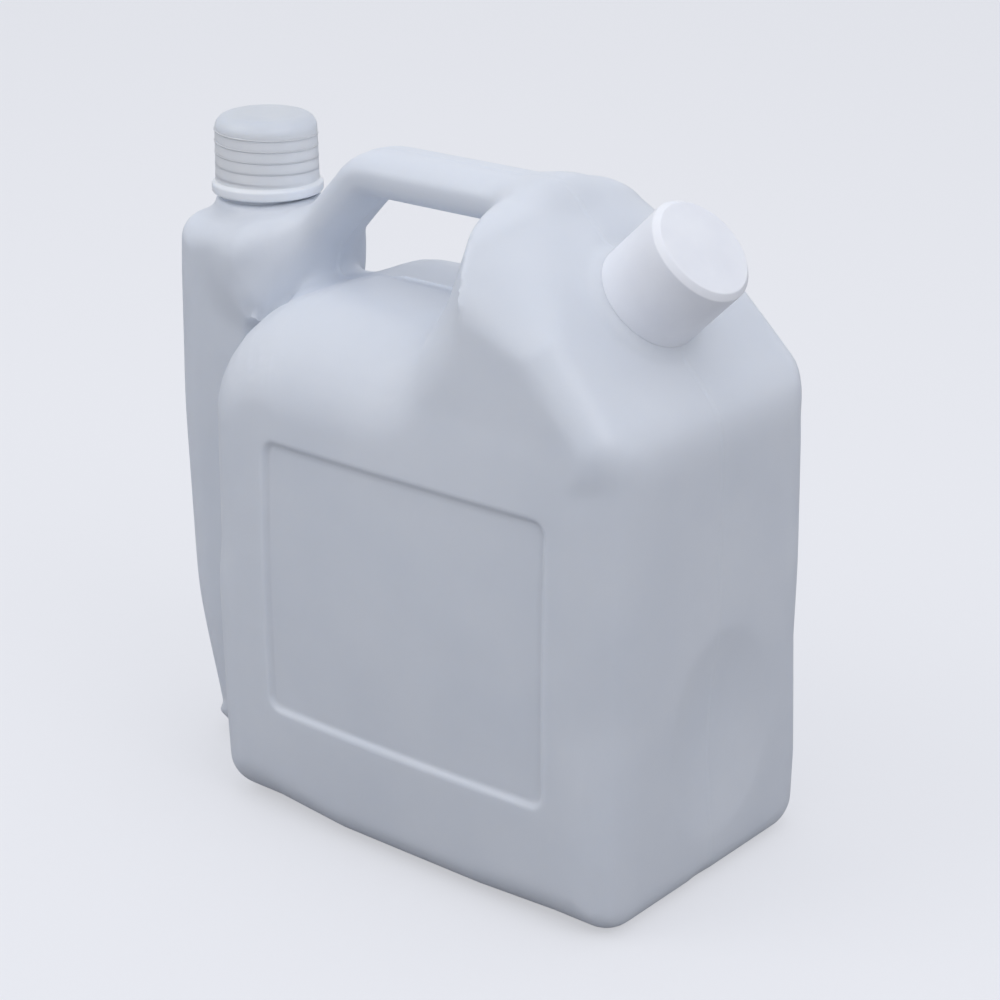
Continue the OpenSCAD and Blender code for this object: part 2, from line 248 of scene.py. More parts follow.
# Front outlines on the parting plane, as corners (x, z, radius, inset, depth): the last two are how
# far the edge between the large wall and the run after the corner reaches in, and along Y
TANK_OUTLINE = outline([
    (-TANK_HALF_L + END_DRAW + 1, 0, FOOT_R + 5, 20, 20),
    (-TANK_HALF_L + 1.2, 34, 0, 20, 20),
    (-TANK_HALF_L, BOW_Z, 900, CORNER_R, CORNER_R),
    (-TANK_HALF_L + 0.5, RIDGE_Z, SHOULDER_R, VALLEY_R - 2, VALLEY_R - 4),
    (FLANK_FOOT_X, RIDGE_Z, 5, *FLANK_EDGE),
    (FLANK_FOOT_X + 9, RIDGE_Z + 14.5, 40, *FLANK_EDGE),
    (FLANK_TOP_X, CROWN_Z, CROWN_R, *CROWN_EDGE),
    (slope_x(CROWN_Z), CROWN_Z, CROWN_R + 4, *CROWN_EDGE),
    (slope_x(208), 208, 0, SLOPE_EDGE_R, SLOPE_EDGE_R),
    (TANK_HALF_L - 1.8, slope_z(TANK_HALF_L - 1.8), SLOPE_END_R, CORNER_R - 1, CORNER_R - 1),
    (TANK_HALF_L, BOW_Z, 900, CORNER_R, CORNER_R),
    (TANK_HALF_L - 1, 30, 0, 17, 17),
    (TANK_HALF_L - END_DRAW, 0, FOOT_R - 3, 17, 17),
    (68, 0, 0, 17, 17),
    (35, 0, 0, FOOT_R, FOOT_R),
    (-30, 0, 0, FOOT_R, FOOT_R),
    (-64, 0, 0, 20, 20),
])
OIL_OUTLINE = outline([
    (OIL_LEFT_X + OIL_DRAW, OIL_FOOT_Z + 4.5, 12, OIL_EDGE_R - 2, OIL_EDGE_R),
    (OIL_LEFT_X + OIL_DRAW * 0.2, 70, 220, OIL_EDGE_R, OIL_EDGE_R),
    (OIL_LEFT_X, 140, 400, OIL_EDGE_R, OIL_EDGE_R),
    (OIL_LEFT_X + 2.2, 190, 0, 17, 17),
    (OIL_LEFT_X + 3.6, OIL_TOP_Z, OIL_SHOULDER_R + 2, 15, 15),
    (OIL_NECK_X - 4, OIL_TOP_Z, 0, 10, 13),
    (OIL_NECK_X + 22, OIL_TOP_Z, 14, OIL_SHOULDER_R + 5, OIL_EDGE_R - 1),
    (-89, RIDGE_Z - 20.0, 2, 8, OIL_EDGE_R - 2),
    (OIL_RIGHT_X + 4.5, RIDGE_Z - 21.5, 30, OIL_EDGE_R - 10, OIL_EDGE_R),
    (OIL_RIGHT_X, 150, 40, OIL_EDGE_R - 6, OIL_EDGE_R),
    (OIL_RIGHT_X, OIL_FOOT_Z + 1.5, 8, 8, OIL_EDGE_R - 6),
    (OIL_LEFT_X + OIL_DRAW + 9, OIL_FOOT_Z, 12, 9, OIL_EDGE_R - 6),
])
WEB_OUTLINE = outline([
    (OIL_RIGHT_X - 3, FOOT_R, 0), (OIL_RIGHT_X - 3, RIDGE_Z - 18, 0), (-80, RIDGE_Z - 9, 0),
    (-80, RIDGE_Z - 18, 0), (OIL_RIGHT_X + 6, RIDGE_Z - SHOULDER_R, 0), (OIL_RIGHT_X + 6, FOOT_R, 0),
])
# The handle's middle line from inside the chamber's shoulder to inside the hump, as
# (x, z, half width, half thickness)
HANDLE_STOPS = [
    (-100.0, 195.5, 23.0, 9.0),
    (-92.0, 203.5, 19.5, 9.0),
    (-84.0, 211.5, 16.0, 8.4),
    (-76.0, 219.5, 15.0, 8.0),
    (-68.0, 227.8, 15.0, 8.0),
    (-59.0, HANDLE_Z, 15.5, HANDLE_T),
    (-45.0, HANDLE_Z, 16.0, HANDLE_T),
    (20.0, HANDLE_Z, 16.0, HANDLE_T),
]


def eased(stops, rounds=3):
    """Cuts the corners of a line again and again, so that it bends and swells smoothly."""
    line = np.array(stops, float)
    for _ in range(rounds):
        a, b = line[:-1], line[1:]
        pairs = np.stack((mix(a, b, 0.25), mix(a, b, 0.75)), 1)
        line = np.concatenate((line[:1], pairs.reshape(-1, line.shape[1]), line[-1:]))
    return line


HANDLE_LINE = eased(HANDLE_STOPS)


def wall_y(x, z):
    """Half depth of the tank at a place on its large walls, with the panel sunk into them."""
    swell = np.sin(np.pi * np.clip(z / (RIDGE_Z - 20.0), 0.0, 1.0))
    bulge = WALL_BULGE * swell * np.clip(1.0 - (x / TANK_HALF_L) ** 2, 0.0, 1.0)
    draw = HUMP_DRAW * step(SHOULDER_Z, CROWN_Z + 20.0, z)
    qx = np.abs(x - sum(PANEL_X) / 2.0) - (PANEL_X[1] - PANEL_X[0]) / 2.0 + PANEL_R
    qz = np.abs(z - sum(PANEL_Z) / 2.0) - (PANEL_Z[1] - PANEL_Z[0]) / 2.0 + PANEL_R
    edge = np.hypot(np.maximum(qx, 0.0), np.maximum(qz, 0.0)) + np.minimum(np.maximum(qx, qz), 0.0) - PANEL_R
    return TANK_HALF_W + bulge - draw - PANEL_DEPTH * step(PANEL_LIP, -PANEL_LIP, edge)


def tank(x, y, z):
    depth = np.abs(y)
    rim, (across, along) = outline_distance(TANK_OUTLINE, x, z)
    return edged(rim, depth - wall_y(x, z), across, along)


def scoop(x, y, z):
    middle = sum(SCOOP_Z) / 2.0
    half = (SCOOP_Z[1] - SCOOP_Z[0]) / 2.0
    reach = np.clip(1.0 - ((z - middle) / half) ** 2 - ((y - 4.0) / SCOOP_HALF_W) ** 2, -1.0, 1.0)
    return TANK_HALF_L - SCOOP_DEPTH * np.maximum(reach, 0.0) ** 0.95 - x


def chamber(x, y, z):
    rim, (across, along) = outline_distance(OIL_OUTLINE, x, z)
    return edged(rim, np.abs(y) - OIL_HALF_W + 3.0 * step(60.0, 0.0, z), across, along)


def web(x, y, z):
    return both(outline_distance(WEB_OUTLINE, x, z)[0], np.abs(y) - WEB_T / 2.0, 0.8)


def handle(x, y, z):
    distance, (half_w, half_t), _ = nearest_on(HANDLE_LINE, x, z, closed=False)
    return edged(distance - half_t, np.abs(y) - half_w, half_t * 0.85, half_w * 0.8)


def along_spout(x, z):
    """Distance along the spout from the cap's lower edge, and square to it in the XZ plane."""
    return SLOPE_X * x + SLOPE_Z * z - FUEL_CAP_S, SLOPE_X * z - SLOPE_Z * x - SPOUT_OFFSET


def neck_roots(x, y, z):
    s, t = along_spout(x, z)
    spout = both(np.hypot(t, y) - NECK_R - 0.6, np.abs(s + 8.0) - 7.4, 0.4)
    collar = both(np.hypot(x - OIL_NECK_X, y) - COLLAR_R + 1.0, np.abs(z - OIL_CAP_Z + 10.0) - 8.0, 1.2)
    return spout, collar


def bottle_form(x, y, z):
    """The whole moulding outside the necks' threads."""
    body = both(tank(x, y, z), -scoop(x, y, z), 6.0)
    notch = np.hypot(np.hypot(x - TANK_HALF_L - 1.0, z) / 1.3, (y + 3.0) / 1.8) - 4.6
    body = both(body, -notch, 2.0)
    body = joined(body, chamber(x, y, z), OIL_SEAM_R)
    body = joined(body, web(x, y, z), 1.0)
    body = joined(body, handle(x, y, z), mix(20.0, 7.0, step(-85.0, -55.0, x)))
    spout, collar = neck_roots(x, y, z)
    body = joined(body, spout, 8.0)
    body = joined(body, collar, 5.0)
    along = step(CREST_X[0], CREST_X[0] + 9.0, x) * step(CREST_X[1], CREST_X[1] - 9.0, x)
    crest = CREST * along * step(15.0, 8.0, np.abs(z - RIDGE_Z))
    flash = FLASH * step(2.0, 8.0, z)
    return body - (flash + crest) * np.exp(-(y / FLASH_W) ** 2)


# Meshes

def grid_lines(low, high, pitch, fine=()):
    """Lines across a stretch, set closer together near each fine place (place, reach)."""
    lines = [low]
    while lines[-1] < high:
        near = any(abs(lines[-1] - place) < reach for place, reach in fine)
        lines.append(lines[-1] + (pitch * 0.45 if near else pitch))
    return np.array(lines)


def surface_net(form, xs, ys, zs, sink):
    """Vertices and four-sided faces of the surface where form + sink is zero, on a grid of lines."""
    grids = (xs, ys, zs)
    field = (form(xs[:, None, None], ys[None, :, None], zs[None, None, :]) + sink).astype(np.float32)
    inside = field < 0.0
    cells = tuple(n - 1 for n in field.shape)
    total = np.zeros(cells + (3,), np.float32)
    hits = np.zeros(cells, np.float32)
    quads = []
    crossings = []
    for axis in range(3):
        low = [slice(None)] * 3
        high = [slice(None)] * 3
        low[axis] = slice(0, -1)
        high[axis] = slice(1, None)
        a, b = field[tuple(low)], field[tuple(high)]
        crossing = inside[tuple(low)] != inside[tuple(high)]
        i, j, k = np.nonzero(crossing)
        t = a[i, j, k] / (a[i, j, k] - b[i, j, k])
        place = [grids[n][(i, j, k)[n]] for n in range(3)]
        lines = grids[axis]
        at = (i, j, k)[axis]
        place[axis] = lines[at] + t * (lines[at + 1] - lines[at])
        place = np.stack(place, axis=1)
        others = [n for n in range(3) if n != axis]
        for da in (0, 1):
            for db in (0, 1):
                cell = [i.copy(), j.copy(), k.copy()]
                cell[others[0]] -= da
                cell[others[1]] -= db
                good = np.all([(cell[n] >= 0) & (cell[n] < cells[n]) for n in range(3)], axis=0)
                where = tuple(c[good] for c in cell)
                np.add.at(total, where, place[good])
                np.add.at(hits, where, 1.0)
        crossings.append((axis, i, j, k, inside[tuple(low)][i, j, k]))
    used = hits > 0
    number = np.full(cells, -1, np.int64)
    number[used] = np.arange(int(used.sum()))
    points = total[used] / hits[used][:, None]
    for axis, i, j, k, from_inside in crossings:
        others = [n for n in range(3) if n != axis]
        ring = []
        for da, db in ((0, 0), (1, 0), (1, 1), (0, 1)):
            cell = [i.copy(), j.copy(), k.copy()]
            cell[others[0]] -= da
            cell[others[1]] -= db
            ring.append(number[tuple(cell)])
        quad = np.stack(ring, axis=1)
        flip = from_inside == (axis != 1)
        quad[~flip] = quad[~flip][:, ::-1]
        quads.append(quad)
    return points.astype(np.float64), np.concatenate(quads)


def slope_of(form, p, reach=0.05):
    g = np.empty_like(p)
    for n in range(3):
        ahead, back = p.copy(), p.copy()
        ahead[:, n] += reach
        back[:, n] -= reach
        g[:, n] = (form(*ahead.T) - form(*back.T)) / (2.0 * reach)
    return g


def settle(form, points, quads, sink, rounds=3):
    """Evens the vertices out over the surface and puts each one exactly on it."""
    corners = quads.ravel()
    around = np.concatenate((np.roll(quads, 1, axis=1).ravel(), np.roll(quads, -1, axis=1).ravel()))
    here = np.concatenate((corners, corners))
    count = np.bincount(here, minlength=len(points))[:, None]
    for turn in range(rounds):
        if turn:
            total = [np.bincount(here, points[around, n], len(points)) for n in range(3)]
            middle = np.stack(total, axis=1) / count
            points = points + 0.5 * (middle - points)
        g = slope_of(form, points)
        size = np.maximum((g * g).sum(axis=1, keepdims=True), 0.15)
        points = points - np.clip((form(*points.T) + sink)[:, None] * g / size, -1.0, 1.0)
    return points


def mesh_object(name, points, faces, smooth=True):
    mesh = bpy.data.meshes.new(name)
    mesh.from_pydata([tuple(p) for p in np.asarray(points) * MM], [], [tuple(map(int, f)) for f in faces])
    mesh.validate()
    mesh.update()
    if smooth:
        mesh.shade_smooth()
    piece = bpy.data.objects.new(name, mesh)
    bpy.context.collection.objects.link(piece)
    return piece


def skin(name, pitch, sink):
    panel_x = [(PANEL_X[0], 3.2), (PANEL_X[1], 3.2), (OIL_RIGHT_X + 1.5, 5.0)] if sink == 0 else []
    panel_z = [(PANEL_Z[0], 3.2), (PANEL_Z[1], 3.2)] if sink == 0 else []
    xs = grid_lines(-154.0, 104.0, pitch, panel_x)
    half = np.concatenate(((0.0, 0.45, 1.0, 1.8), grid_lines(3.0, 74.0, pitch)))
    ys = np.concatenate((-half[:0:-1], half))
    zs = grid_lines(-6.0, 252.0, pitch, panel_z)
    points, quads = surface_net(bottle_form, xs, ys, zs, sink)
    points = settle(bottle_form, points, quads, sink)
    return mesh_object(name, points, quads)


def turned(name, profile, steps=ROUND_STEPS):
    """A closed ring profile (radius, height) turned round Z; points at radius 0 become poles."""
    profile = np.array(profile, float)
    angles = np.arange(steps) * 2.0 * math.pi / steps
    points, first = [], []
    for r, h in profile:
        first.append(len(points))
        if r < 1e-6:
            points.append((0.0, 0.0, h))
        else:
            points.extend((r * math.cos(a), r * math.sin(a), h) for a in angles)
    faces = []
    for n in range(len(profile)):
        m = (n + 1) % len(profile)
        pole_n, pole_m = profile[n][0] < 1e-6, profile[m][0] < 1e-6
        if pole_n and pole_m:
            continue
        for k in range(steps):
            j = (k + 1) % steps
            a, b = (first[n], first[n]) if pole_n else (first[n] + k, first[n] + j)
            d, c = (first[m], first[m]) if pole_m else (first[m] + k, first[m] + j)
            faces.append([v for i, v in enumerate((a, b, c, d)) if v not in (a, b, c, d)[:i]])
    return mesh_object(name, points, faces)


def rounded_profile(corners, arc_steps=5):
    return [tuple(p) for p in outline(corners, arc_steps)]


def place_on_spout(piece):
    """Turns an upright piece onto the slanted spout, in its mesh."""
    turn = np.array(((SLOPE_Z, 0.0, SLOPE_X), (0.0, 1.0, 0.0), (-SLOPE_X, 0.0, SLOPE_Z)))
    start = np.array((SLOPE_X * FUEL_CAP_S - SLOPE_Z * SPOUT_OFFSET, 0.0,
                      SLOPE_Z * FUEL_CAP_S + SLOPE_X * SPOUT_OFFSET))
    move(piece, lambda p: p @ turn.T + start)


def place_on_oil_neck(piece):
    move(piece, lambda p: p + np.array((OIL_NECK_X, 0.0, OIL_CAP_Z)))


def move(piece, rule):
    count = len(piece.data.vertices)
    flat = np.empty(count * 3)
    piece.data.vertices.foreach_get("co", flat)
    piece.data.vertices.foreach_set("co", (rule(flat.reshape(-1, 3) / MM) * MM).ravel())
    piece.data.update()


def combined(base, other, way, solver="MANIFOLD"):
    tool = base.modifiers.new("join", "BOOLEAN")
    tool.operation = way
    tool.object = other
    tool.solver = solver
    return plain(base, [other])


def plain(piece, spent=()):
    """Applies a piece's modifiers by taking the mesh that they give."""
    graph = bpy.context.evaluated_depsgraph_get()
    mesh = bpy.data.meshes.new_from_object(piece.evaluated_get(graph), depsgraph=graph)
    piece.modifiers.clear()
    old = piece.data
    piece.data = mesh
    mesh.name = old.name
    bpy.data.meshes.remove(old)
    for other in spent:
        bpy.data.objects.remove(other)
    return piece


def helix_tree():
    """Geometry nodes that sweep a small round bead along a helix, with tapering ends."""
    tree = bpy.data.node_groups.new("helix_bead", "GeometryNodeTree")
    face = tree.interface
    face.new_socket("Geometry", in_out="INPUT", socket_type="NodeSocketGeometry")
    for name, value in (("Radius", 0.02), ("Height", 0.02), ("Turns", 5.0), ("Bead", 0.0005), ("Start", 0.0)):
        face.new_socket(name, in_out="INPUT", socket_type="NodeSocketFloat").default_value = value
    face.new_socket("Material", in_out="INPUT", socket_type="NodeSocketMaterial")
    face.new_socket("Geometry", in_out="OUTPUT", socket_type="NodeSocketGeometry")
    nodes, links = tree.nodes, tree.links
    inputs = nodes.new("NodeGroupInput")
    spiral = nodes.new("GeometryNodeCurveSpiral")
    spiral.inputs["Resolution"].default_value = 72
    spiral.inputs["Reverse"].default_value = False
    links.new(inputs.outputs["Turns"], spiral.inputs["Rotations"])
    links.new(inputs.outputs["Radius"], spiral.inputs["Start Radius"])
    links.new(inputs.outputs["Radius"], spiral.inputs["End Radius"])
    links.new(inputs.outputs["Height"], spiral.inputs["Height"])
    lift = nodes.new("GeometryNodeTransform")
    offset = nodes.new("ShaderNodeCombineXYZ")
    links.new(inputs.outputs["Start"], offset.inputs["Z"])
    links.new(spiral.outputs[0], lift.inputs["Geometry"])
    links.new(offset.outputs[0], lift.inputs["Translation"])
    taper = nodes.new("GeometryNodeSetCurveRadius")
    place = nodes.new("GeometryNodeSplineParameter")
    rise = nodes.new("ShaderNodeMath")
    rise.operation = "PINGPONG"
    rise.inputs[1].default_value = 0.5
    links.new(place.outputs["Factor"], rise.inputs[0])
    swell = nodes.new("ShaderNodeMapRange")
    swell.inputs["From Max"].default_value = 0.04
    swell.inputs["To Min"].default_value = 0.15
    links.new(rise.outputs[0], swell.inputs["Value"])
    links.new(swell.outputs["Result"], taper.inputs["Radius"])
    links.new(lift.outputs[0], taper.inputs["Curve"])
    bead = nodes.new("GeometryNodeCurvePrimitiveCircle")
    bead.inputs["Resolution"].default_value = 8
    links.new(inputs.outputs["Bead"], bead.inputs["Radius"])
    sweep = nodes.new("GeometryNodeCurveToMesh")
    sweep.inputs["Fill Caps"].default_value = True
    links.new(taper.outputs[0], sweep.inputs["Curve"])
    links.new(bead.outputs[0], sweep.inputs["Profile Curve"])
    links.new(swell.outputs["Result"], sweep.inputs["Scale"])
    paint = nodes.new("GeometryNodeSetMaterial")
    links.new(inputs.outputs["Material"], paint.inputs["Material"])
    real = nodes.new("GeometryNodeRealizeInstances")
    links.new(sweep.outputs[0], real.inputs[0])
    links.new(real.outputs[0], paint.inputs["Geometry"])
    out = nodes.new("NodeGroupOutput")
    links.new(paint.outputs[0], out.inputs[0])
    return tree


def helix(name, tree, radius, start, height, bead, material):
    """A thread or ridge: one bead wound round the axis at the thread's own pitch."""
    piece = mesh_object(name, np.zeros((0, 3)), [], smooth=False)
    tool = piece.modifiers.new("helix", "NODES")
    tool.node_group = tree
    values = {"Radius": radius * MM, "Height": height * MM, "Turns": height / THREAD_PITCH,
              "Bead": bead * MM, "Start": start * MM, "Material": material}
    for socket in tree.interface.items_tree:
        if socket.in_out == "INPUT" and socket.name in values:
            tool[socket.identifier] = values[socket.name]
    plain(piece)
    piece.data.shade_smooth()
    return piece


def fused(base, others):
    """Puts the faces of several pieces into one mesh."""
    bpy.ops.object.select_all(action="DESELECT")
    for piece in [base] + others:
        piece.select_set(True)
    bpy.context.view_layer.objects.active = base
    bpy.ops.object.join()
    return base


# Materials

def new_material(name, color, roughness, scatter=0.0, scatter_size=0.006):
    material = bpy.data.materials.new(name)
    material.use_nodes = True
    shader = material.node_tree.nodes["Principled BSDF"]
    shader.inputs["Base Color"].default_value = color + (1.0,)
    shader.inputs["Roughness"].default_value = roughness
    shader.inputs["IOR"].default_value = 1.5
    shader.inputs["Subsurface Weight"].default_value = scatter
    shader.inputs["Subsurface Radius"].default_value = (0.9, 1.0, 1.2)
    shader.inputs["Subsurface Scale"].default_value = scatter_size
    return material, shader


def moulded_group():
    """Colour and normal of moulded polyethylene: thickness clouds, faint waves and a satin grain."""
    tree = bpy.data.node_groups.new("moulded_polyethylene", "ShaderNodeTree")
    face = tree.interface
    for name, value in (("Cloud Size", 22.0), ("Clouds", 0.04), ("Wave", 0.25), ("Grain", 0.06)):
        face.new_socket(name, in_out="INPUT", socket_type="NodeSocketFloat").default_value = value
    face.new_socket("Thick", in_out="INPUT", socket_type="NodeSocketColor")
    face.new_socket("Thin", in_out="INPUT", socket_type="NodeSocketColor")
    face.new_socket("Color", in_out="OUTPUT", socket_type="NodeSocketColor")
    face.new_socket("Roughness Shift", in_out="OUTPUT", socket_type="NodeSocketFloat")
    face.new_socket("Normal", in_out="OUTPUT", socket_type="NodeSocketVector")
    nodes, links = tree.nodes, tree.links
    inputs = nodes.new("NodeGroupInput")
    place = nodes.new("ShaderNodeTexCoord")

    def noise(scale, detail, rough=0.5):
        node = nodes.new("ShaderNodeTexNoise")
        node.inputs["Scale"].default_value = scale
        node.inputs["Detail"].default_value = detail
        node.inputs["Roughness"].default_value = rough
        links.new(place.outputs["Object"], node.inputs["Vector"])
        return node

    clouds = noise(22.0, 3.0)
    links.new(inputs.outputs["Cloud Size"], clouds.inputs["Scale"])
    spread = nodes.new("ShaderNodeMapRange")
    spread.inputs["From Min"].default_value = 0.3
    spread.inputs["From Max"].default_value = 0.7
    links.new(clouds.outputs["Fac"], spread.inputs["Value"])
    tint = nodes.new("ShaderNodeMix")
    tint.data_type = "RGBA"
    links.new(spread.outputs["Result"], tint.inputs["Factor"])
    links.new(inputs.outputs["Thick"], tint.inputs["A"])
    links.new(inputs.outputs["Thin"], tint.inputs["B"])
    waves = noise(38.0, 1.0)
    grain = noise(1400.0, 2.0, 0.6)
    ripple = nodes.new("ShaderNodeBump")
    ripple.inputs["Distance"].default_value = 0.001
    links.new(inputs.outputs["Wave"], ripple.inputs["Strength"])
    links.new(waves.outputs["Fac"], ripple.inputs["Height"])
    satin = nodes.new("ShaderNodeBump")
    satin.inputs["Distance"].default_value = 0.0002
    links.new(inputs.outputs["Grain"], satin.inputs["Strength"])
    links.new(grain.outputs["Fac"], satin.inputs["Height"])
    links.new(ripple.outputs["Normal"], satin.inputs["Normal"])
    shift = nodes.new("ShaderNodeMapRange")
    shift.inputs["To Min"].default_value = -0.05
    shift.inputs["To Max"].default_value = 0.07
    links.new(noise(90.0, 4.0).outputs["Fac"], shift.inputs["Value"])
    out = nodes.new("NodeGroupOutput")
    links.new(tint.outputs["Result"], out.inputs["Color"])
    links.new(shift.outputs["Result"], out.inputs["Roughness Shift"])
    links.new(satin.outputs["Normal"], out.inputs["Normal"])
    return tree


def moulded(material, shader, group, thick, thin, roughness, wave=0.25, grain=0.06, cloud_size=22.0):
    nodes, links = material.node_tree.nodes, material.node_tree.links
    node = nodes.new("ShaderNodeGroup")
    node.node_tree = group
    node.inputs["Thick"].default_value = thick + (1.0,)
    node.inputs["Thin"].default_value = thin + (1.0,)
    node.inputs["Wave"].default_value = wave
    node.inputs["Grain"].default_value = grain
    node.inputs["Cloud Size"].default_value = cloud_size
    links.new(node.outputs["Color"], shader.inputs["Base Color"])
    links.new(node.outputs["Normal"], shader.inputs["Normal"])
    total = nodes.new("ShaderNodeMath")
    total.inputs[1].default_value = roughness
    links.new(node.outputs["Roughness Shift"], total.inputs[0])
    links.new(total.outputs[0], shader.inputs["Roughness"])
    return material


def natural_hdpe(group):
    material, shader = new_material("natural_hdpe", (0.72, 0.76, 0.83), 0.42, 0.35, 0.008)
    return moulded(material, shader, group, (0.705, 0.75, 0.83), (0.755, 0.795, 0.865), 0.40)


def white_cap(group):
    material, shader = new_material("white_cap", (0.86, 0.86, 0.88), 0.35, 0.08, 0.002)
    thick, thin = (0.83, 0.835, 0.865), (0.88, 0.885, 0.905)
    return moulded(material, shader, group, thick, thin, 0.36, 0.12, 0.04, 60.0)


def natural_cap(group):
    material, shader = new_material("natural_cap", (0.84, 0.86, 0.90), 0.38, 0.4, 0.005)
    moulded(material, shader, group, (0.83, 0.86, 0.90), (0.88, 0.90, 0.93), 0.34, 0.08, 0.03, 60.0)
    nodes, links = material.node_tree.nodes, material.node_tree.links
    place = nodes.new("ShaderNodeTexCoord")
    parts = nodes.new("ShaderNodeSeparateXYZ")
    rise = nodes.new("ShaderNodeMapRange")
    rise.inputs["From Min"].default_value = (OIL_CAP_Z + OIL_CAP_H - 7.0) * MM
    rise.inputs["From Max"].default_value = (OIL_CAP_Z + OIL_CAP_H - 0.5) * MM
    # Painted shade: the cap's colour is multiplied darker towards its top
    top_shade = nodes.new("ShaderNodeMix")
    top_shade.data_type = "RGBA"
    top_shade.blend_type = "MULTIPLY"
    top_shade.inputs["B"].default_value = CAP_TOP_PAINTED_SHADE + (1.0,)
    links.new(place.outputs["Object"], parts.inputs[0])
    links.new(parts.outputs["Z"], rise.inputs["Value"])
    links.new(rise.outputs["Result"], top_shade.inputs["Factor"])
    links.new(shader.inputs["Base Color"].links[0].from_socket, top_shade.inputs["A"])
    links.new(top_shade.outputs["Result"], shader.inputs["Base Color"])
    return material


def foam_liner(group):
    material, shader = new_material("foam_liner", (0.86, 0.87, 0.88), 0.8)
    return moulded(material, shader, group, (0.84, 0.85, 0.86), (0.88, 0.89, 0.90), 0.75, 0.05, 0.5, 200.0)


def painted(piece, material):
    piece.data.materials.clear()
    piece.data.materials.append(material)


# Pieces

def bottle(material, tree):
    pitch = 2.05
    body = skin("moulded_bottle", pitch, 0.0)
    hollow = skin("hollow", 3.6, WALL)
    for place, root in ((place_on_spout, 6.0), (place_on_oil_neck, 10.0)):
        tube = turned("neck", rounded_profile([
            (0, -root, 0), (NECK_R, -root, 0), (NECK_R, NECK_H, 0.7), (0, NECK_H, 0)]))
        place(tube)
        combined(body, tube, "UNION")
    combined(body, hollow, "DIFFERENCE")
    for place, root in ((place_on_spout, 14.0), (place_on_oil_neck, 20.0)):
        bore = turned("bore", [(0, -root), (BORE_R, -root), (BORE_R, NECK_H + 4.0), (0, NECK_H + 4.0)])
        place(bore)
        combined(body, bore, "DIFFERENCE")
    threads = []
    for place in (place_on_spout, place_on_oil_neck):
        thread = helix("thread", tree, NECK_R, 4.0, 10.5, THREAD_R, material)
        place(thread)
        threads.append(thread)
    painted(body, material)
    body.data.shade_smooth()
    fused(body, threads)
    painted(body, material)
    body.data.set_sharp_from_angle(angle=math.radians(50.0))
    return body


def fuel_cap(material, tree):
    body = turned("fuel_cap_shell", rounded_profile([
        (FUEL_CAP_R - CAP_WALL, 0, 0.3), (FUEL_CAP_R, 0, 0.5),
        (FUEL_CAP_R, FUEL_CAP_H - 2.0, 0.9), (FUEL_CAP_R - 1.9, FUEL_CAP_H, 0.9),
        (0, FUEL_CAP_H, 0), (0, FUEL_CAP_H - CAP_TOP, 0),
        (SEAT_R, FUEL_CAP_H - CAP_TOP, 0.3), (SEAT_R, SEAT_H, 0.2),
        (LINER_R, SEAT_H, 0.2), (LINER_R, FUEL_CAP_H - CAP_TOP, 0.3),
        (FUEL_CAP_R - CAP_WALL, FUEL_CAP_H - CAP_TOP, 0.5)]))
    thread = helix("thread", tree, FUEL_CAP_R - CAP_WALL, 2.5, 11.0, 0.5, material)
    fused(body, [thread])
    place_on_spout(body)
    painted(body, material)
    return body


def oil_cap(material, tree):
    body = turned("oil_cap_shell", rounded_profile([
        (OIL_CAP_R - CAP_WALL, 0, 0.3), (OIL_BEAD_R, 0, 1.1), (OIL_BEAD_R, OIL_BEAD_H - 1.0, 1.2),
        (OIL_CAP_R + 0.15, OIL_BEAD_H, 0.5), (OIL_CAP_R - 0.35, OIL_CAP_H - 0.6, 5.4),
        (9, OIL_CAP_H, 20), (0, OIL_CAP_H, 0), (0, OIL_CAP_H - CAP_TOP, 0),
        (SEAT_R, OIL_CAP_H - CAP_TOP, 0.3), (SEAT_R, SEAT_H, 0.2),
        (LINER_R, SEAT_H, 0.2), (LINER_R, OIL_CAP_H - CAP_TOP - 3.0, 0.2),
        (OIL_CAP_R - CAP_WALL, OIL_CAP_H - CAP_TOP - 4.0, 0.3)], 8))
    ridge = helix("ridge", tree, OIL_CAP_R - 0.2, OIL_BEAD_H + 0.6, 4.6 * THREAD_PITCH, RIDGE_R, material)
    thread = helix("thread", tree, OIL_CAP_R - CAP_WALL, 2.5, 11.0, 0.5, material)
    fused(body, [ridge, thread])
    place_on_oil_neck(body)
    painted(body, material)
    return body


def liner(name, place, material):
    low = NECK_H + LINER_GAP
    high = low + LINER_T
    corners = [(0, low, 0), (LINER_R, low, 0.3), (LINER_R, high, 0.3), (0, high, 0)]
    piece = turned(name, rounded_profile(corners))
    place(piece)
    painted(piece, material)
    return piece


def hand_in(piece, body, node):
    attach(piece, body)
    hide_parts(node)


# Studio

def studio_floor():
    """A pale floor: the camera sees it paler than the light that it throws back under the bottle."""
    reach = 4000.0
    corners = [(-reach, -reach, -0.3), (reach, -reach, -0.3), (reach, reach, -0.3), (-reach, reach, -0.3)]
    floor = mesh_object("floor", corners, [(0, 1, 2, 3)], smooth=False)
    material = bpy.data.materials.new("pale_floor")
    material.use_nodes = True
    nodes, links = material.node_tree.nodes, material.node_tree.links
    shader = nodes["Principled BSDF"]
    shader.inputs["Base Color"].default_value = (0.33, 0.33, 0.34, 1.0)
    shader.inputs["Roughness"].default_value = 0.8
    shader.inputs["Emission Color"].default_value = (0.95, 0.96, 1.0, 1.0)
    seen = nodes.new("ShaderNodeLightPath")
    glow = nodes.new("ShaderNodeMath")
    glow.operation = "MULTIPLY"
    glow.inputs[1].default_value = FLOOR_GLOW
    links.new(seen.outputs["Is Camera Ray"], glow.inputs[0])
    links.new(glow.outputs[0], shader.inputs["Emission Strength"])
    floor.data.materials.append(material)


